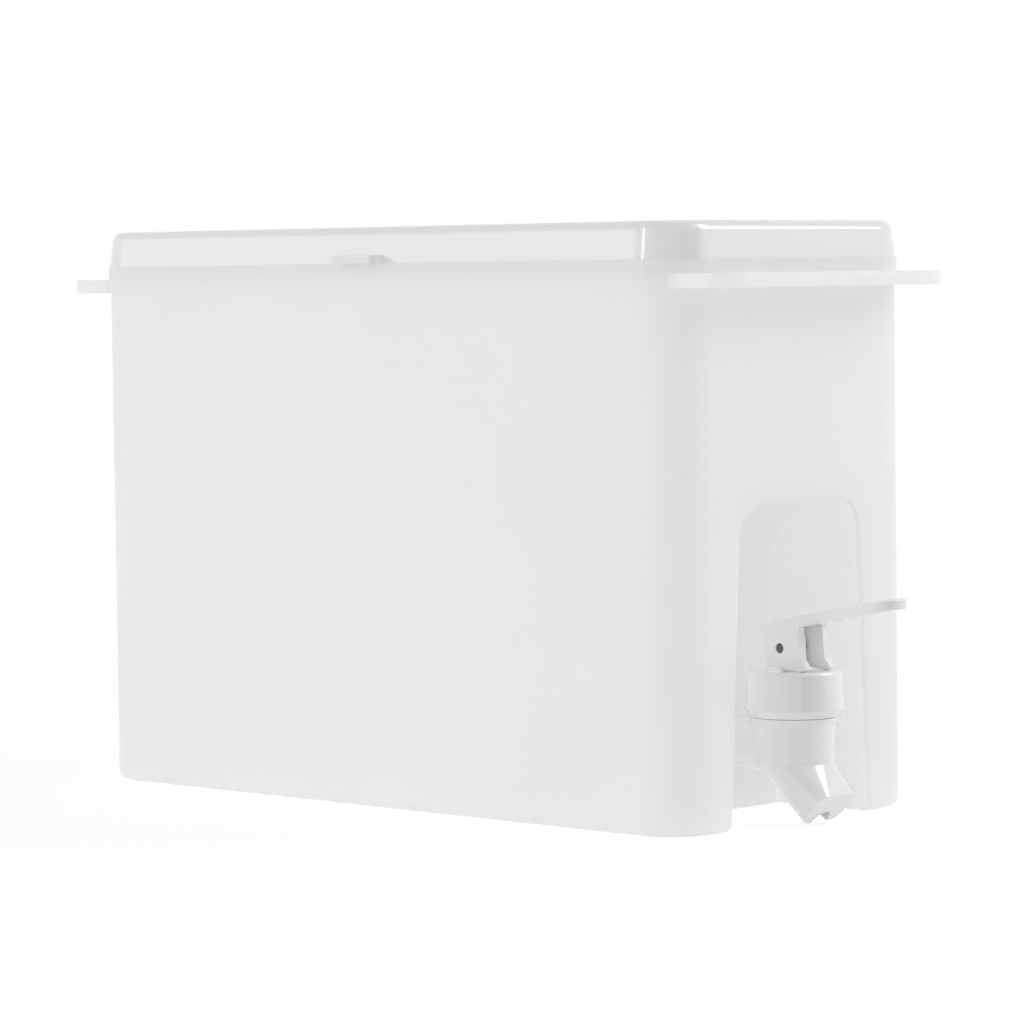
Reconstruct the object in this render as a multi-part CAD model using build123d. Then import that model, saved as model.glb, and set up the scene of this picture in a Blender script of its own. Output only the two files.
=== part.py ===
from build123d import *
import os
from math import cos, radians, sin, sqrt, tan

# ---------------------------------------------------------------- tank
BODY_L = 248.0          # footprint, along X (the tap end is +X)
BODY_W = 108.5          # footprint, along Y
BODY_R = 15.0           # vertical corners
TANK_H = 164.0          # floor to rim
WALL = 2.0
FLOOR = 2.2
FOOT_R = 3.0            # rounding round the foot, outside
BASIN_R = 4.5           # rounding round the floor, inside
RIM_STEP = 0.6          # the rim band stands proud of the walls
RIM_BAND = 8.0
LEDGE_OUT = 16.8        # lifting ledges at both short ends
LEDGE_SIDE = 3.0        # ledges are this much narrower than the body, each side
LEDGE_R = 9.5
LEDGE_T = 4.2
LEDGE_DROP = 4.0        # rim to ledge top
LEDGE_SKIN = 2.2
EDGE_R = 0.9

# niche for the tap in the front face, open at the front and below
NICHE_DEEP = 36.0
NICHE_H = 93.2
NICHE_W = 62.0          # at the floor
NICHE_DRAFT = 3.1       # degrees, each side
NICHE_R = 9.0           # top corners seen from the front
NICHE_ARCH = 28.0       # rounding from the back wall to the ceiling
NICHE_LIP = 1.2

# ---------------------------------------------------------------- lid
LID_H = 11.0
LID_SEAT = 0.05         # lid over rim
LID_IN = 0.3            # lid edge inside the rim edge
LID_LEAN = 7.6          # degrees
LID_TOP_R = 3.0
LID_SKIN = 2.2
PLUG_DEEP = 5.0         # locating lip that drops into the mouth
PLUG_T = 1.6
PLUG_GAP = 0.35
TAB_W = 17.4            # thumb tab on the lid's near edge
TAB_OUT = 5.3
TAB_T = 2.4
TAB_R = 1.5
TAB_EDGE = 0.5

# ---------------------------------------------------------------- tap
TAP_BACK = 2.8          # barrel axis behind the front face
PORT_Z = 22.6           # height of the shank
PORT_R = 8.0            # hole in the niche wall
THREAD_R = 7.8
NECK_R = 8.5
FLANGE_R = 10.8
FLANGE_T = 2.5
FLANGE_EDGE = 0.8
SHANK_BORE_R = 5.0
WASHER_R = 11.2
WASHER_T = 2.0
INNER_WASHER_R = 12.5
INNER_WASHER_T = 1.8
NUT_AF = 25.0           # across the flats
NUT_T = 7.0
NUT_CONE = 1.6          # height of the turned-down corners
NUT_CONE_R = 2.8        # and how far in they reach
NUT_FACE_IN = 0.3       # turned face inside the flats
SHANK_SPARE = 3.0       # thread past the nut

BARREL_Z = 17.4         # knee between barrel and spout
BARREL_R = 11.3
BARREL_TOP_R = 12.1
COLLAR_Z = 28.4
COLLAR_R = 12.9
COLLAR_TOP = 30.9
CHAMBER_R = 8.2
SEAT_Z = 19.2
SEAT_R = 4.4
SPIGOT_R = 11.2         # threaded neck inside the bonnet
SPIGOT_TOP = 40.6
SPOUT_X = 12.8          # mouth centre in front of the barrel axis
SPOUT_Z = 4.8
SPOUT_W = 16.2
SPOUT_T = 11.8
SPOUT_EDGE = 3.2
SPOUT_CUT = 0.7         # spout is trimmed flat at this height
SPOUT_BORE_R = 3.6
SPOUT_TURN = 3.0        # bore turns forward this far below the knee
OUTLET_BACK = 4.6       # outlet's axis behind the middle of the mouth
OUTLET_UP = 2.7         # bore turns down this far above it
KNEE_EASE = 0.1         # knee's rounded square falls this short of a circle

BONNET_LIP_R = 14.6
BONNET_LOW_R = 13.1
BONNET_TOP_R = 13.9
BONNET_BEVEL = 2.2
BONNET_TOP = 44.6
BONNET_T = 2.3
BONNET_EDGE = 1.3
BONNET_LIP_EDGE = 0.5
BONNET_GAP = 0.2        # bonnet over collar

STEM_R = 3.6
STEM_RUN = 0.07
STEM_HEAD_R = 6.6
STEM_HEAD_T = 1.7
STEM_TOP = 3.6          # above the pin
STEM_EDGE = 1.2
CUP_R = 7.2
CUP_H = 5.0
CUP_BITE = 3.0          # stem tip inside the cup
CUP_BORE = 2.6
CUP_EDGE = 0.8
SPRING_WIRE = 0.9
SPRING_R = 5.3
SPRING_TURNS = 5.0

PIN_R = 1.5
PIN_RUN = 0.05
PIN_SINK = 0.6          # pin end inside the ear, each side
PIN_EDGE = 0.2
PIN_Z = 6.5             # pin over the bonnet top, lever at rest
LIFT = 7.0              # stem lift per radian of the lever
CAM_SWEEP = 24.0        # degrees of cam
CAM_STEPS = 8
CAM_GAP = 0.05
LEVER_W = 13.0
LEVER_SLOT = 8.2
LEVER_T = 3.2
LEVER_RISE = 10.8       # degrees, tip up at rest
LEVER_TOP = 8.3         # lever top over the pin
LEVER_TIP = 40.0
LEVER_REAR = 7.6
LEVER_HEEL = 4.9
LEVER_BROW = 7.0        # front of the ears under the bar
LEVER_HEEL_UP = 1.1
LEVER_SHIN_OUT = 0.35   # shin's place between brow and toe
LEVER_SHIN_UP = 0.8     # shin over the toe, per length of the toe
LEVER_EDGE = 0.7
LEVER_EASE = 0.05       # tip radius short of half the width

THROUGH = 1.0           # a cutting tool runs this far past the face it cuts

# ---------------------------------------------------------------- derived
FRONT = BODY_L / 2
AXIS_X = FRONT - TAP_BACK
NICHE_X = FRONT - NICHE_DEEP
INSIDE_X = NICHE_X - WALL
FLANGE_X = NICHE_X + WASHER_T
NUT_X = INSIDE_X - INNER_WASHER_T
LID_Z = TANK_H + LID_SEAT
LID_TOP = TANK_H + LID_H
BONNET_Z = COLLAR_TOP + BONNET_GAP
HEAD_Z = SEAT_Z + CUP_H
PIN_AT = BONNET_TOP + CAM_GAP + PIN_Z
TAP = Pos(AXIS_X, 0, 0)
SHANK_END = NUT_X - NUT_T - SHANK_SPARE
SPRING_FOOT = HEAD_Z + STEM_HEAD_T + SPRING_WIRE / 2
SPRING_HEAD = BONNET_TOP - BONNET_T - SPRING_WIRE / 2
RISE = tan(radians(LEVER_RISE))
LEVER_DEEP = LEVER_T / cos(radians(LEVER_RISE))


def slab(length, width, radius, z0, z1, lean=0.0):
    face = Pos(0, 0, z0) * RectangleRounded(length, width, radius)
    return extrude(face, z1 - z0, taper=lean)


def turned(points):
    """A solid of revolution about Z from (radius, height) points."""
    face = make_face(Polyline(*[(r, 0, z) for r, z in points], close=True))
    return revolve(face, Axis.Z)


def rod_x(radius, x0, x1, z):
    return Pos(x0, 0, z) * Rot(0, 90, 0) * Cylinder(
        radius, x1 - x0, align=(Align.CENTER, Align.CENTER, Align.MIN))


def niche(grow=0.0):
    """The room for the tap, or the tank's own skin round it when grown by the wall."""
    lean = tan(radians(NICHE_DRAFT))
    half = NICHE_W / 2 + grow / cos(radians(NICHE_DRAFT))
    top = NICHE_H + grow
    deep, ahead = NICHE_DEEP + grow, THROUGH
    outline = Polyline((0, -half, 0), (0, half, 0), (0, half - top * lean, top),
                       (0, top * lean - half, top), close=True)
    front = extrude(make_face(outline), deep + ahead, dir=(1, 0, 0))
    front = fillet(front.edges().filter_by(Axis.X).group_by(Axis.Z)[-1], NICHE_R + grow)
    front = Pos(FRONT - deep, 0, 0) * front
    side = Pos(FRONT - deep, 0, 0) * Box(deep + ahead, BODY_W, top,
                                         align=(Align.MIN, Align.CENTER, Align.MIN))
    arch = side.edges().filter_by(Axis.Y).group_by(Axis.Z)[-1].group_by(Axis.X)[0]
    side = fillet(arch, min(NICHE_ARCH + grow, deep - THROUGH, top - THROUGH))
    return front & side


def ledges():
    long_side = BODY_L + 2 * LEDGE_OUT
    broad = BODY_W - 2 * LEDGE_SIDE
    top = TANK_H - LEDGE_DROP
    plate = slab(long_side, broad, LEDGE_R, top - LEDGE_T, top)
    edges = plate.edges().group_by(Axis.Z)
    plate = fillet(edges[0] + edges[-1], EDGE_R)
    lip = LEDGE_SKIN
    hollow = slab(long_side - 2 * lip, broad - 2 * lip, LEDGE_R - lip,
                  top - LEDGE_T, top - LEDGE_SKIN)
    keep = slab(BODY_L + 2 * RIM_STEP, BODY_W + 2 * RIM_STEP, BODY_R + RIM_STEP,
                top - LEDGE_T, top)
    return plate - (hollow - keep)


def tank():
    outer = slab(BODY_L, BODY_W, BODY_R, 0, TANK_H)
    outer = fillet(outer.edges().group_by(Axis.Z)[0], FOOT_R)
    band = slab(BODY_L + 2 * RIM_STEP, BODY_W + 2 * RIM_STEP, BODY_R + RIM_STEP,
                TANK_H - RIM_BAND, TANK_H)
    outer = outer + ledges() + band
    outer = outer - niche()
    mouth = [e for e in outer.edges()
             if abs(e.center().X - FRONT) < 0.01 and e.center().Z < NICHE_H + 0.1
             and abs(e.center().Y) < NICHE_W / 2 + 0.1 and e.center().Z > FOOT_R]
    outer = fillet(mouth, NICHE_LIP)
    basin = slab(BODY_L - 2 * WALL, BODY_W - 2 * WALL, BODY_R - WALL, FLOOR, TANK_H)
    basin = fillet(basin.edges().group_by(Axis.Z)[0], BASIN_R)
    basin = basin - niche(WALL)
    return outer - basin - rod_x(PORT_R, INSIDE_X - THROUGH, NICHE_X + THROUGH, PORT_Z)


def lid():
    length = BODY_L + 2 * RIM_STEP - 2 * LID_IN
    broad = BODY_W + 2 * RIM_STEP - 2 * LID_IN
    corner = BODY_R + RIM_STEP - LID_IN
    cover = slab(length, broad, corner, LID_Z, LID_TOP, lean=LID_LEAN)
    cover = fillet(cover.edges().group_by(Axis.Z)[-1], LID_TOP_R)
    mouth = WALL + PLUG_GAP
    plug = slab(BODY_L - 2 * mouth, BODY_W - 2 * mouth, BODY_R - mouth,
                LID_Z - PLUG_DEEP, LID_Z)
    within = mouth + PLUG_T
    hollow = slab(BODY_L - 2 * within, BODY_W - 2 * within, BODY_R - within,
                  LID_Z - PLUG_DEEP, LID_TOP - LID_SKIN)
    hollow = fillet(hollow.edges().group_by(Axis.Z)[-1], LID_TOP_R)
    tab = Pos(0, -broad / 2, LID_Z) * Box(TAB_W, 2 * TAB_OUT, TAB_T,
                                          align=(Align.CENTER, Align.CENTER, Align.MIN))
    tab = fillet(tab.edges().filter_by(Axis.Z).group_by(Axis.Y)[0], TAB_R)
    tab = fillet(tab.edges().group_by(Axis.Z)[-1], TAB_EDGE)
    return cover + plug + tab - hollow


def outer_washer():
    ring = rod_x(WASHER_R, NICHE_X, FLANGE_X, PORT_Z)
    return ring - rod_x(THREAD_R, NICHE_X - THROUGH, FLANGE_X + THROUGH, PORT_Z)


def inner_washer():
    ring = rod_x(INNER_WASHER_R, NUT_X, INSIDE_X, PORT_Z)
    return ring - rod_x(THREAD_R, NUT_X - THROUGH, INSIDE_X + THROUGH, PORT_Z)


def lock_nut():
    hexagon = Rot(0, 0, 30) * RegularPolygon(NUT_AF / 2, 6, major_radius=False)
    face_r = NUT_AF / 2 - NUT_FACE_IN
    cone = [(0, 0), (face_r, 0), (face_r + NUT_CONE_R, NUT_CONE),
            (face_r + NUT_CONE_R, NUT_T), (0, NUT_T)]
    nut = extrude(hexagon, NUT_T) & turned(cone)
    nut = Pos(NUT_X - NUT_T, 0, PORT_Z) * Rot(0, 90, 0) * nut
    return nut - rod_x(THREAD_R, NUT_X - NUT_T - THROUGH, NUT_X + THROUGH, PORT_Z)


def spout():
    """Round at the knee, rounded square at the mouth, trimmed flat just over the bench.

    The bore runs forward inside it and turns straight down, so the outlet opens on the lower edge.
    """
    reach = sqrt(SPOUT_X ** 2 + (BARREL_Z - SPOUT_Z) ** 2)
    aim = Plane(origin=(SPOUT_X, 0, SPOUT_Z), x_dir=(0, 1, 0),
                z_dir=(SPOUT_X / reach, 0, (SPOUT_Z - BARREL_Z) / reach))
    knee = Plane(origin=(0, 0, BARREL_Z), x_dir=(0, 1, 0), z_dir=(0, 0, -1))
    start = knee * RectangleRounded(2 * BARREL_R, 2 * BARREL_R, BARREL_R - KNEE_EASE)
    end = aim * RectangleRounded(SPOUT_W, SPOUT_T, SPOUT_EDGE)
    body = loft([start, end])
    body = body - Pos(0, 0, SPOUT_CUT) * Box(2 * BODY_W, BODY_W, BARREL_Z, align=(
        Align.CENTER, Align.CENTER, Align.MAX))
    turn_z = BARREL_Z - SPOUT_TURN
    out_x, elbow_z = SPOUT_X - OUTLET_BACK, SPOUT_Z + OUTLET_UP
    run = sqrt(out_x ** 2 + (turn_z - elbow_z) ** 2)
    way = Plane(origin=(0, 0, turn_z), x_dir=(0, 1, 0),
                z_dir=(out_x / run, 0, (elbow_z - turn_z) / run))
    bore = extrude(way * Circle(SPOUT_BORE_R), run)
    bore += Pos(out_x, 0, elbow_z) * Sphere(SPOUT_BORE_R)
    bore += Pos(out_x, 0, elbow_z) * Cylinder(SPOUT_BORE_R, elbow_z + THROUGH, align=(
        Align.CENTER, Align.CENTER, Align.MAX))
    bore += Pos(0, 0, turn_z) * Sphere(SEAT_R)
    bore += Pos(0, 0, turn_z) * Cylinder(SEAT_R, SEAT_Z - turn_z + THROUGH, align=(
        Align.CENTER, Align.CENTER, Align.MIN))
    return body, bore


def tap_body():
    barrel = turned([(0, BARREL_Z), (BARREL_R, BARREL_Z), (BARREL_TOP_R, COLLAR_Z),
                     (COLLAR_R, COLLAR_TOP), (SPIGOT_R, COLLAR_TOP),
                     (SPIGOT_R, SPIGOT_TOP), (0, SPIGOT_TOP)])
    body, bore = spout()
    solid = TAP * (barrel + body)
    solid += rod_x(NECK_R, FLANGE_X, AXIS_X, PORT_Z)
    flange = rod_x(FLANGE_R, FLANGE_X, FLANGE_X + FLANGE_T, PORT_Z)
    rim = flange.edges().filter_by(GeomType.CIRCLE).group_by(Axis.X)[-1]
    solid += fillet(rim, FLANGE_EDGE)
    solid += rod_x(THREAD_R, SHANK_END, FLANGE_X, PORT_Z)
    chamber = Pos(0, 0, SEAT_Z) * Cylinder(CHAMBER_R, SPIGOT_TOP, align=(
        Align.CENTER, Align.CENTER, Align.MIN))
    solid -= TAP * (chamber + bore)
    return solid - rod_x(SHANK_BORE_R, SHANK_END - THROUGH, AXIS_X, PORT_Z)


def bonnet():
    roof = BONNET_TOP - BONNET_T
    cap = turned([(0, BONNET_Z), (BONNET_LOW_R, BONNET_Z),
                  (BONNET_LIP_R, BONNET_Z + BONNET_BEVEL), (BONNET_TOP_R, BONNET_TOP),
                  (0, BONNET_TOP)])
    rings = cap.edges().filter_by(GeomType.CIRCLE).group_by(Axis.Z)
    cap = fillet(rings[-1], BONNET_EDGE)
    lip = cap.edges().filter_by(GeomType.CIRCLE).filter_by(
        lambda e: abs(e.center().Z - BONNET_Z - BONNET_BEVEL) < 0.01)
    cap = fillet(lip, BONNET_LIP_EDGE)
    cap -= Pos(0, 0, BONNET_Z) * Cylinder(SPIGOT_R, roof - BONNET_Z, align=(
        Align.CENTER, Align.CENTER, Align.MIN))
    cap -= Pos(0, 0, roof) * Cylinder(STEM_R + STEM_RUN, 3 * BONNET_T)
    return TAP * cap


def seat_cup():
    cup = Pos(0, 0, SEAT_Z) * Cylinder(CUP_R, CUP_H, align=(
        Align.CENTER, Align.CENTER, Align.MIN))
    cup = chamfer(cup.edges().group_by(Axis.Z)[0], CUP_EDGE)
    cup -= Pos(0, 0, HEAD_Z - CUP_BITE) * Cylinder(CUP_BORE, CUP_H, align=(
        Align.CENTER, Align.CENTER, Align.MIN))
    return TAP * cup


def stem():
    top = PIN_AT + STEM_TOP
    rod = turned([(0, HEAD_Z - CUP_BITE), (CUP_BORE, HEAD_Z - CUP_BITE),
                  (CUP_BORE, HEAD_Z), (STEM_HEAD_R, HEAD_Z),
                  (STEM_HEAD_R, HEAD_Z + STEM_HEAD_T), (STEM_R, HEAD_Z + STEM_HEAD_T),
                  (STEM_R, top), (0, top)])
    rod = fillet(rod.edges().group_by(Axis.Z)[-1], STEM_EDGE)
    hole = Pos(0, 0, PIN_AT) * Rot(90, 0, 0) * Cylinder(PIN_R + PIN_RUN, 4 * STEM_R)
    return TAP * (rod - hole)


def spring():
    high = SPRING_HEAD - SPRING_FOOT
    path = Helix(high / SPRING_TURNS, high, SPRING_R)
    start = Plane(origin=path @ 0, z_dir=path % 0)
    coil = sweep(start * Circle(SPRING_WIRE / 2), path)
    return TAP * Pos(0, 0, SPRING_FOOT) * coil


def bar_top(x):
    """Height of the lever's top over the pin, at x ahead of it."""
    return LEVER_TOP + RISE * x


def cam_foot():
    """Points whose height under the turning pin grows by LIFT per radian."""
    points = []
    for i in range(CAM_STEPS + 1):
        a = radians(CAM_SWEEP) * i / CAM_STEPS
        p = PIN_Z + LIFT * a
        points.append((LIFT * cos(a) + p * sin(a), LIFT * sin(a) - p * cos(a)))
    return points


def lever_bar():
    rear, tip = -LEVER_REAR, LEVER_TIP
    bar = make_face(Polyline((rear, 0, bar_top(rear)), (tip, 0, bar_top(tip)),
                             (tip, 0, bar_top(tip) - LEVER_DEEP),
                             (rear, 0, bar_top(rear) - LEVER_DEEP), close=True))
    bar = extrude(bar, LEVER_W / 2, both=True, dir=(0, 1, 0))
    plan = Pos(rear, 0, 0) * Box(tip - rear, LEVER_W, 2 * bar_top(tip), align=(
        Align.MIN, Align.CENTER, Align.CENTER))
    nose = plan.edges().filter_by(Axis.Z).group_by(Axis.X)[-1]
    bar = bar & fillet(nose, LEVER_W / 2 - LEVER_EASE)
    flats = bar.faces().filter_by(lambda f: abs(f.normal_at().Z) > 0.9)
    return fillet([e for f in flats for e in f.edges()], LEVER_EDGE)


def lever():
    """One moulding: a flat bar with a round end over two ears, whose feet are cams."""
    cam = cam_foot()
    toe, brow = cam[-1], LEVER_BROW
    heel = (-LEVER_HEEL, LEVER_HEEL_UP - PIN_Z)
    shin = (brow + LEVER_SHIN_OUT * (toe[0] - brow), toe[1] + LEVER_SHIN_UP * (toe[0] - brow))
    back = (-LEVER_REAR, bar_top(-LEVER_REAR) - LEVER_DEEP / 2)
    front = (brow, bar_top(brow) - LEVER_DEEP / 2)
    side = Polyline(*[(x, 0, z) for x, z in [back, heel] + cam + [shin, front]], close=True)
    ears = extrude(make_face(side), LEVER_W / 2, both=True, dir=(0, 1, 0))
    far = LEVER_TIP
    under = make_face(Polyline((-far, 0, bar_top(-far) - LEVER_DEEP),
                               (far, 0, bar_top(far) - LEVER_DEEP),
                               (far, 0, -far), (-far, 0, -far), close=True))
    slot = extrude(under, LEVER_SLOT / 2, both=True, dir=(0, 1, 0))
    hole = Rot(90, 0, 0) * Cylinder(PIN_R, 3 * LEVER_W)
    return TAP * Pos(0, 0, PIN_AT) * (lever_bar() + (ears - slot) - hole)


def lever_pin():
    pin = Rot(90, 0, 0) * Cylinder(PIN_R, LEVER_W - 2 * PIN_SINK)
    pin = chamfer(pin.edges().filter_by(GeomType.CIRCLE), PIN_EDGE)
    return TAP * Pos(0, 0, PIN_AT) * pin


os.makedirs("parts", exist_ok=True)
NODES = {
    "tank": tank(), "lid": lid(),
    "tap_body": tap_body(), "outer_washer": outer_washer(),
    "inner_washer": inner_washer(), "lock_nut": lock_nut(),
    "bonnet": bonnet(), "stem": stem(), "seat_cup": seat_cup(), "spring": spring(),
    "lever": lever(), "lever_pin": lever_pin(),
}
for name, shape in NODES.items():
    print(name, len(shape.solids()), [round(v, 2) for v in (
        *shape.bounding_box().min, *shape.bounding_box().max)], round(shape.volume))
    export_step(shape, f"parts/{name}.step")
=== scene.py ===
"""A slim milky carboy with a lift-off lid and a lever spigot, on a white studio floor.

The pieces come in the order in which the carboy is put together: the tank first, then the washers,
the tap's body with its nut and cap, the valve, the lever, and the lid last. After them come the
floor, the lamps, a black card and the camera. Lengths are in metres, or in millimetres where they
are multiplied by MM.
"""
import math

import bpy
import numpy as np
from mathutils import Matrix, Vector


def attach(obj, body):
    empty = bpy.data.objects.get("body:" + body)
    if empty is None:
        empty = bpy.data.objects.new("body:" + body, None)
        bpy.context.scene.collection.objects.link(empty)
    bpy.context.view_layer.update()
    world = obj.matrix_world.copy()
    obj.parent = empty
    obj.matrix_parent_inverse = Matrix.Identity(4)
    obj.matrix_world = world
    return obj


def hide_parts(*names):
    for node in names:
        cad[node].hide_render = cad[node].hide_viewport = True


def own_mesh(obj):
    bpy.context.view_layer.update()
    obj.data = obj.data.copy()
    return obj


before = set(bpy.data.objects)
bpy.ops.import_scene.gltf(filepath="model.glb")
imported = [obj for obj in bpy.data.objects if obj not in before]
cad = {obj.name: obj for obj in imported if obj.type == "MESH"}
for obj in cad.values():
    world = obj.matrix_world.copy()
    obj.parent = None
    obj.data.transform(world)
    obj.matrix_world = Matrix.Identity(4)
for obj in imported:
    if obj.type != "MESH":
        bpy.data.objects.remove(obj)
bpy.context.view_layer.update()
MM = 0.001

# ------------------------------------------------------------------ tank
# The tank is one injection moulding in natural polypropylene, with its lifting ledges and rim.
# The wall scatters light, so the faces look milky, and the mould's fine grain leaves them satin.

TANK_MILK = 0.6                 # share of the light that is scattered through the wall


def linear(code):
    """An sRGB hex colour as linear RGBA: each channel by the sRGB curve, alpha 1."""
    rgb = [int(code[i:i + 2], 16) / 255 for i in (1, 3, 5)]
    return (*[c / 12.92 if c <= 0.04045 else ((c + 0.055) / 1.055) ** 2.4 for c in rgb], 1.0)


def add_node(tree, kind, settings=None, **links):
    """Adds a node, sets its sockets and properties by name, and links the outputs given.

    A link's name is the input's name with _ for a space, or _ and the input's number.
    """
    node = tree.nodes.new(kind)
    for name, value in (settings or {}).items():
        if name in node.inputs.keys():
            node.inputs[name].default_value = value
        else:
            setattr(node, name, value)
    for name, output in links.items():
        tree.links.new(output, node.inputs[int(name[1:])] if name[1:].isdigit()
                       else node.inputs[name.replace("_", " ")])
    return node


def new_material(name):
    """An empty node material and its tree."""
    material = bpy.data.materials.new(name)
    material.use_nodes = True
    material.node_tree.nodes.clear()
    return material, material.node_tree


def finish_material(tree, shader):
    """Links the last shader to a new output node."""
    out = add_node(tree, "ShaderNodeOutputMaterial")
    tree.links.new(shader.outputs[0], out.inputs["Surface"])


def dress(node, material):
    """Gives a CAD node's object one material."""
    mesh = cad[node].data
    mesh.materials.clear()
    mesh.materials.append(material)


def noise(tree, scale, detail, rough):
    """The value of a noise in object space, scale cells to the metre."""
    place = add_node(tree, "ShaderNodeTexCoord").outputs["Object"]
    return add_node(tree, "ShaderNodeTexNoise",
                    {"Scale": scale, "Detail": detail, "Roughness": rough},
                    Vector=place).outputs["Fac"]


def moulded_skin(tree, marks, low, high, strength, depth):
    """Links for a Principled shader: marks vary the roughness from low to high and raise a relief
    of the given strength and depth."""
    skin = add_node(tree, "ShaderNodeMapRange", {"To Min": low, "To Max": high}, Value=marks)
    relief = add_node(tree, "ShaderNodeBump", {"Strength": strength, "Distance": depth},
                      Height=marks)
    return {"Roughness": skin.outputs["Result"], "Normal": relief.outputs["Normal"]}


def milky_polypropylene():
    """Natural polypropylene, injection moulded: milky depth, satin skin, faint flow clouds."""
    material, tree = new_material("natural_polypropylene_moulded")
    tint = add_node(tree, "ShaderNodeMix", {"data_type": "RGBA"}, _0=noise(tree, 14.0, 3.0, 0.45))
    tint.inputs[6].default_value = linear("#FBFBFB")
    tint.inputs[7].default_value = linear("#FEFEFE")
    grain = noise(tree, 1600.0, 2.0, 0.6)
    shader = add_node(tree, "ShaderNodeBsdfPrincipled", {"IOR": 1.49}, Base_Color=tint.outputs[2],
                      **moulded_skin(tree, grain, 0.36, 0.48, 0.12, 0.05 * MM))
    depth = add_node(tree, "ShaderNodeBsdfTranslucent", Color=tint.outputs[2])
    wall = add_node(tree, "ShaderNodeMixShader", {"Fac": TANK_MILK},
                    _1=shader.outputs[0], _2=depth.outputs[0])
    finish_material(tree, wall)
    return material


dress("tank", milky_polypropylene())

# ------------------------------------------------------------------ shank washers
# Two moulded silicone rings seal the hole in the niche wall, one under the tap's flange outside
# and one under the nut inside. The flange and the nut squeeze them.


def silicone():
    """Moulded silicone: soft satin white, a little light goes through."""
    material, tree = new_material("silicone_moulded")
    bloom = noise(tree, 260.0, 4.0, 0.5)
    shader = add_node(tree, "ShaderNodeBsdfPrincipled", {
        "Base Color": linear("#DADCDB"), "IOR": 1.42, "Subsurface Weight": 0.4,
        "Subsurface Radius": (1.0, 1.0, 1.0), "Subsurface Scale": 1.5 * MM},
        **moulded_skin(tree, bloom, 0.42, 0.58, 0.1, 0.05 * MM))
    finish_material(tree, shader)
    return material


rubber = silicone()
for ring in ("outer_washer", "inner_washer"):
    dress(ring, rubber)

# ------------------------------------------------------------------ tap body, nut and cap
# The tap's body, its lock nut and its screw cap are glossy white mouldings of one plastic.
# The body's shank passes through the tank wall, and the nut on its thread draws its flange on to
# the washer. The thread shows where the shank stands out of the nut, inside the tank.

PORT_Z = 22.6                   # height of the shank's axis
THREAD_R = 7.8                  # radius of the shank
THREAD_RIDGE = 0.9              # width of the ridge, half of it proud of the shank
THREAD_TURNS = 1.75
SHANK_END_X = 74.2
NUT_BACK_X = 77.2
COIL_STEPS = 40                 # rings of vertices to a turn of a coil
COIL_SIDES = 12                 # sides of its wire


def white_plastic():
    """Opaque white copolymer, moulded in polished steel: glossy, with a slight orange-peel."""
    material, tree = new_material("white_copolymer_polished")
    peel = noise(tree, 420.0, 1.0, 0.4)
    shader = add_node(tree, "ShaderNodeBsdfPrincipled", {
        "Base Color": linear("#FBFBFA"), "IOR": 1.53, "Coat Weight": 0.6, "Coat Roughness": 0.14},
        **moulded_skin(tree, peel, 0.12, 0.2, 0.06, 0.05 * MM))
    finish_material(tree, shader)
    return material


def coil(name, radius, wire, start, end, turns, closing, axes, at):
    """A round wire along a helix. For t from 0 to 1 along it and v round it, with a = 2 pi turns t:
    x, y = (radius + wire/2 cos v)(cos a, sin a),
    z = start + (end - start)(t - closing sin(2 pi t) / 2 pi) + wire/2 sin v.
    closing draws the end turns together. axes turns it, with rows for its x, y, z, and at moves it.
    """
    steps, sides = int(COIL_STEPS * turns), COIL_SIDES
    t, v = np.meshgrid(np.linspace(0, 1, steps + 1), np.arange(sides) * 2 * np.pi / sides,
                       indexing="ij")
    reach = radius + wire / 2 * np.cos(v)
    a = 2 * np.pi * turns * t
    z = start + (end - start) * (t - closing * np.sin(2 * np.pi * t) / (2 * np.pi))
    local = np.stack([reach * np.cos(a), reach * np.sin(a), z + wire / 2 * np.sin(v)], axis=-1)
    points = local.reshape(-1, 3) @ np.array(axes, float) + np.array(at)
    row, side = np.meshgrid(np.arange(steps), np.arange(sides), indexing="ij")
    after = (side + 1) % sides
    quads = np.stack([row * sides + side, (row + 1) * sides + side,
                      (row + 1) * sides + after, row * sides + after], axis=-1).reshape(-1, 4)
    caps = [list(range(sides)), list(range((steps + 1) * sides - 1, steps * sides - 1, -1))]
    mesh = bpy.data.meshes.new(name)
    mesh.from_pydata((points * MM).tolist(), [], quads.tolist() + caps)
    mesh.polygons.foreach_set("use_smooth", [True] * len(quads) + [False] * len(caps))
    piece = bpy.data.objects.new(name, mesh)
    bpy.context.scene.collection.objects.link(piece)
    return piece


white = white_plastic()
for piece in ("tap_body", "lock_nut", "bonnet"):
    dress(piece, white)
thread = coil("shank_thread", THREAD_R, THREAD_RIDGE, SHANK_END_X + THREAD_RIDGE / 2,
              NUT_BACK_X - THREAD_RIDGE / 2, THREAD_TURNS, 0.0,
              ((0, 1, 0), (0, 0, 1), (1, 0, 0)), (0, 0, PORT_Z))
thread.data.materials.append(white)
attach(thread, "tank")

# ------------------------------------------------------------------ valve
# A silicone cup on the end of the stem closes the seat, and a coil spring under the cap holds it
# down. The stem is the tap's white plastic. The spring is drawn stainless wire with closed ends.
# In the tap it is squashed against the cap as the stem rises; here it moves up with the stem
# unchanged.

TAP_X = 121.2                   # the barrel's axis
SPRING_R = 5.3
WIRE = 0.9
SPRING_TURNS = 5.0
SPRING_CLOSING = 0.7
SPRING_FOOT_Z = 25.9
SPRING_TOP_Z = 42.3


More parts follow.
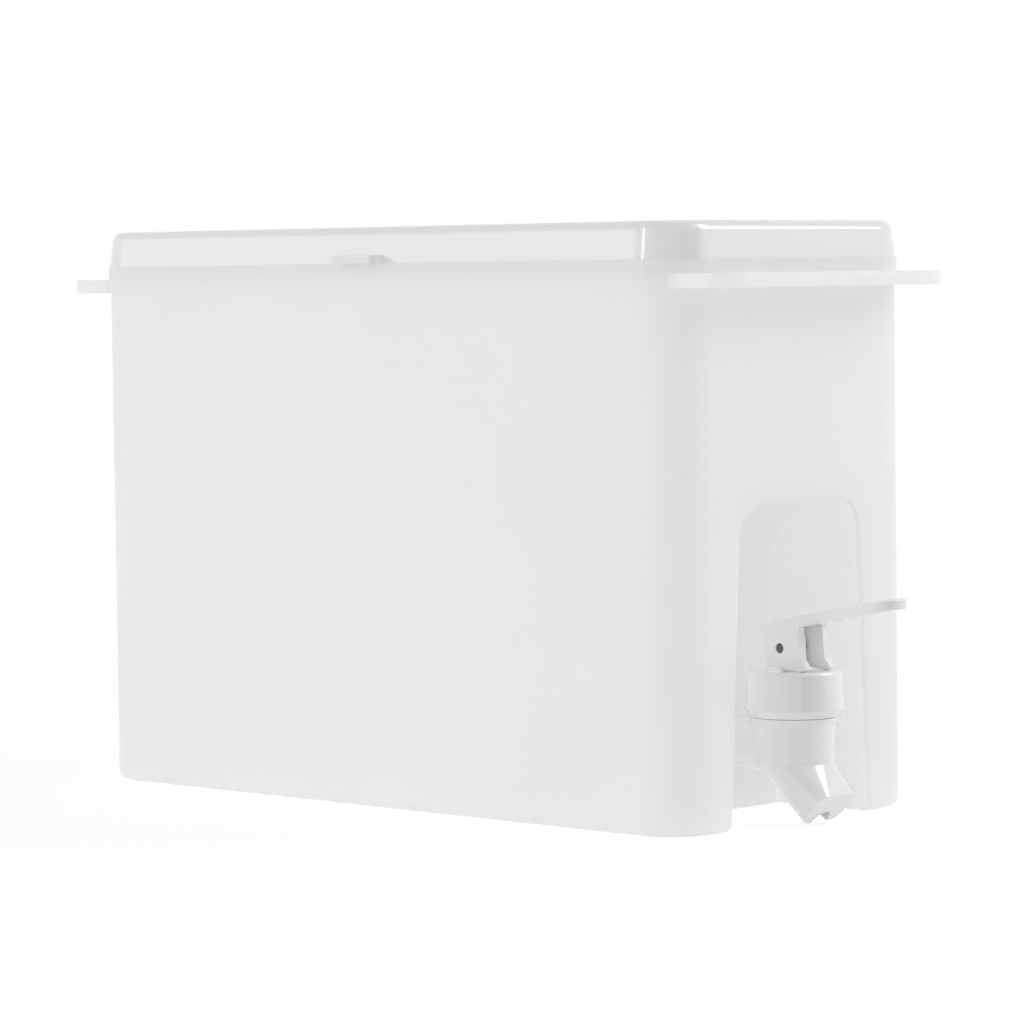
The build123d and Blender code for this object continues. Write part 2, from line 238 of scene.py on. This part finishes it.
def steel(name, colour, low, high, spacing, axis):
    """Stainless steel with fine tool lines across one axis, spacing metres apart, whose roughness
    goes from low to high."""
    material, tree = new_material(name)
    place = add_node(tree, "ShaderNodeTexCoord").outputs["Object"]
    longer = 12.0               # a line's length over its width
    stretch = [1.0, 1.0, 1.0]
    stretch[axis] = longer
    lines = add_node(tree, "ShaderNodeMapping", {"Scale": stretch}, Vector=place)
    marks = add_node(tree, "ShaderNodeTexNoise",
                     {"Scale": 1 / (longer * spacing), "Detail": 2.0},
                     Vector=lines.outputs["Vector"])
    skin = add_node(tree, "ShaderNodeMapRange", {"To Min": low, "To Max": high},
                    Value=marks.outputs["Fac"])
    shader = add_node(tree, "ShaderNodeBsdfPrincipled", {
        "Base Color": linear(colour), "Metallic": 1.0}, Roughness=skin.outputs["Result"])
    finish_material(tree, shader)
    return material


dress("seat_cup", rubber)
dress("stem", white)

spring = coil("stem_spring", SPRING_R, WIRE, SPRING_FOOT_Z + WIRE / 2, SPRING_TOP_Z - WIRE / 2,
              SPRING_TURNS, SPRING_CLOSING, ((1, 0, 0), (0, 1, 0), (0, 0, 1)), (TAP_X, 0, 0))
spring.data.materials.append(steel("stainless_wire_drawn", "#B9BABC", 0.22, 0.38, 0.2 * MM, 2))
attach(spring, "stem")
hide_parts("spring")
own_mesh(spring)

# ------------------------------------------------------------------ lever
# The lever is one moulding with two ears that straddle the stem, and a cross pin of turned
# stainless joins them. The ears' feet are cams that ride on the cap and lift the stem.

dress("lever", white)
dress("lever_pin", steel("stainless_pin_turned", "#6E6F72", 0.30, 0.45, 0.25 * MM, 1))

# ------------------------------------------------------------------ lid
# The lid is a thin moulding in clarified polypropylene, from a polished mould, so it is glossier
# and clearer than the tank. It drops on the rim and its lip fits inside the mouth.

LID_MILK = 0.3                  # share of the light that is scattered through the lid


def clarified_polypropylene():
    """Clarified polypropylene, polished: some milky depth under a gloss with a slight wave."""
    material, tree = new_material("clarified_polypropylene_polished")
    flow = noise(tree, 30.0, 2.0, 0.5)
    shader = add_node(tree, "ShaderNodeBsdfPrincipled", {
        "Base Color": linear("#FDFDFD"), "IOR": 1.5, "Coat Weight": 1.0,
        "Coat Roughness": 0.08},
        **moulded_skin(tree, flow, 0.13, 0.19, 0.08, 0.3 * MM))
    depth = add_node(tree, "ShaderNodeBsdfTranslucent", {"Color": linear("#FFFFFF")})
    wall = add_node(tree, "ShaderNodeMixShader", {"Fac": LID_MILK},
                    _1=shader.outputs[0], _2=depth.outputs[0])
    finish_material(tree, wall)
    return material


dress("lid", clarified_polypropylene())

# ------------------------------------------------------------------ floor
# A matt white studio floor that keeps the carboy's soft shadow and fades out into the white
# surround. The camera sees it as a pale sheet with a light of its own, as bright as the surround.

FLOOR_R = 0.7
FLOOR_FADE = 0.35               # width of the ring over which it fades
FLOOR_DROP = 0.05               # below the carboy's foot
FLOOR_GLOW = 0.76


def straight_view(tree):
    """1 for rays from the camera, directly, off a gloss or through something clear, else 0."""
    seen = add_node(tree, "ShaderNodeLightPath")
    direct = add_node(tree, "ShaderNodeMath", {"operation": "ADD"},
                      _0=seen.outputs["Is Camera Ray"], _1=seen.outputs["Is Glossy Ray"])
    direct = add_node(tree, "ShaderNodeMath", {"operation": "ADD", "use_clamp": True},
                      _0=direct.outputs[0], _1=seen.outputs["Is Transmission Ray"])
    return direct.outputs[0]


bpy.ops.mesh.primitive_circle_add(vertices=96, radius=FLOOR_R, fill_type="NGON",
                                  location=(0, 0, -FLOOR_DROP * MM))
floor = bpy.context.object
floor.name = "studio_floor"
paper, tree = new_material("studio_paper_matt")
bounce = add_node(tree, "ShaderNodeBsdfDiffuse", {"Color": linear("#F8F8F8")})
faint = add_node(tree, "ShaderNodeBsdfDiffuse", {"Color": linear("#9F9F9F")})
glow = add_node(tree, "ShaderNodeEmission", {"Color": (1, 1, 1, 1), "Strength": FLOOR_GLOW})
shown = add_node(tree, "ShaderNodeAddShader", _0=faint.outputs[0], _1=glow.outputs[0])
sheet = add_node(tree, "ShaderNodeMixShader", _0=straight_view(tree),
                 _1=bounce.outputs[0], _2=shown.outputs[0])
place = add_node(tree, "ShaderNodeTexCoord")
far = add_node(tree, "ShaderNodeVectorMath", {"operation": "LENGTH"}, _0=place.outputs["Object"])
edge = add_node(tree, "ShaderNodeMapRange",
                {"From Min": FLOOR_R - FLOOR_FADE, "From Max": FLOOR_R,
                 "interpolation_type": "SMOOTHSTEP"}, Value=far.outputs["Value"])
clear = add_node(tree, "ShaderNodeBsdfTransparent")
fade = add_node(tree, "ShaderNodeMixShader", _0=edge.outputs["Result"],
                _1=sheet.outputs[0], _2=clear.outputs[0])
finish_material(tree, fade)
floor.data.materials.append(paper)

# ------------------------------------------------------------------ surround and lamps
# A white surround gives an even base light, weaker from above. A narrow soft box stands beside
# the long side, a broad one beyond the tap end and a low, weak one off the back end, so the
# rounded corner between the long side and the tap end falls a little darker.

DOME_SIDE = 0.71                # the surround's light from the horizon and below
DOME_TOP = 0.4                  # and from overhead
LAMPS_AIM = Vector((0, 0, 0.09))

world = bpy.data.worlds.new("studio_surround")
bpy.context.scene.world = world
world.use_nodes = True
tree = world.node_tree
tree.nodes.clear()
toward = add_node(tree, "ShaderNodeTexCoord").outputs["Generated"]
height = add_node(tree, "ShaderNodeSeparateXYZ", Vector=toward)
dome = add_node(tree, "ShaderNodeMapRange", {"To Min": DOME_SIDE, "To Max": DOME_TOP},
                Value=height.outputs["Z"])
level = add_node(tree, "ShaderNodeMix", {"B": 1.0}, Factor=straight_view(tree),
                 A=dome.outputs["Result"])
sky = add_node(tree, "ShaderNodeBackground", {"Color": (1, 1, 1, 1)},
               Strength=level.outputs["Result"])
add_node(tree, "ShaderNodeOutputWorld", Surface=sky.outputs[0])


def soft_box(name, azimuth, elevation, distance, width, height, radiance):
    """An area lamp aimed at the carboy from azimuth (from +X towards +Y) and elevation in degrees.
    Its power is radiance times its area times pi."""
    a, e = math.radians(azimuth), math.radians(elevation)
    way = Vector((math.cos(a) * math.cos(e), math.sin(a) * math.cos(e), math.sin(e)))
    data = bpy.data.lights.new(name, "AREA")
    data.shape = "RECTANGLE"
    data.size, data.size_y = width, height
    data.energy = radiance * width * height * math.pi
    lamp = bpy.data.objects.new(name, data)
    bpy.context.scene.collection.objects.link(lamp)
    lamp.location = LAMPS_AIM + way * distance
    lamp.rotation_mode = "QUATERNION"
    lamp.rotation_quaternion = (-way).to_track_quat("-Z", "Y")


# name, azimuth, elevation, distance, width, height, radiance
soft_box("left_box", -104, 17, 1.5, 0.18, 0.8, 5.5)
soft_box("right_box", 44, 32, 1.5, 0.5, 0.9, 5.2)
soft_box("back_box", -135, 15, 1.6, 0.9, 0.35, 1.1)

# ------------------------------------------------------------------ black card
# A card of black felt stands off the tap end and takes light away from it, as studios do with
# white goods, so that the near corner and the tap keep their shape. The camera looks past it.

CARD_AT = math.radians(-4)      # from +X towards +Y
CARD_AWAY = 1.0
CARD_W, CARD_H = 1.0, 0.42

card_foot = Vector((math.cos(CARD_AT), math.sin(CARD_AT), 0)) * CARD_AWAY
card_half = Vector((-math.sin(CARD_AT), math.cos(CARD_AT), 0)) * CARD_W / 2
card_up = Vector((0, 0, CARD_H))
card_mesh = bpy.data.meshes.new("black_card")
card_mesh.from_pydata([card_foot - card_half, card_foot + card_half,
                       card_foot + card_half + card_up, card_foot - card_half + card_up],
                      [], [(0, 1, 2, 3)])
card = bpy.data.objects.new("black_card", card_mesh)
bpy.context.scene.collection.objects.link(card)
card.visible_camera = False
felt, tree = new_material("black_felt")
finish_material(tree, add_node(tree, "ShaderNodeBsdfDiffuse", {"Color": linear("#1A1A1A")}))
card_mesh.materials.append(felt)

# ------------------------------------------------------------------ camera
# A long lens stands off the near corner, a little above the middle of the tank. Light may bounce
# many times in the white hollow of the tank, as it does in milky plastic.

CAMERA_AT = Vector((921.3, -957.4, 161.0)) * MM
HEADING = math.radians(43.63)
PITCH = math.radians(3.20)
ROLL = math.radians(0.71)
LENS_MM = 151.0
SENSOR_MM = 36.0
FAR_CLIP = 50.0
BOUNCES = 20
DIFFUSE_BOUNCES = 16

look = Vector((-math.sin(HEADING) * math.cos(PITCH), math.cos(HEADING) * math.cos(PITCH),
               -math.sin(PITCH)))
level_right = Vector((math.cos(HEADING), math.sin(HEADING), 0))
level_up = level_right.cross(look)
right = level_right * math.cos(ROLL) - level_up * math.sin(ROLL)
up = level_right * math.sin(ROLL) + level_up * math.cos(ROLL)
camera = bpy.data.objects.new("camera", bpy.data.cameras.new("camera"))
bpy.context.scene.collection.objects.link(camera)
camera.data.lens = LENS_MM
camera.data.sensor_width = SENSOR_MM
camera.data.clip_end = FAR_CLIP
turn = Matrix((right, up, -look)).transposed().to_4x4()
camera.matrix_world = Matrix.Translation(CAMERA_AT) @ turn
bpy.context.scene.camera = camera
bpy.context.scene.view_settings.view_transform = "Standard"
bpy.context.scene.cycles.max_bounces = BOUNCES
bpy.context.scene.cycles.diffuse_bounces = DIFFUSE_BOUNCES
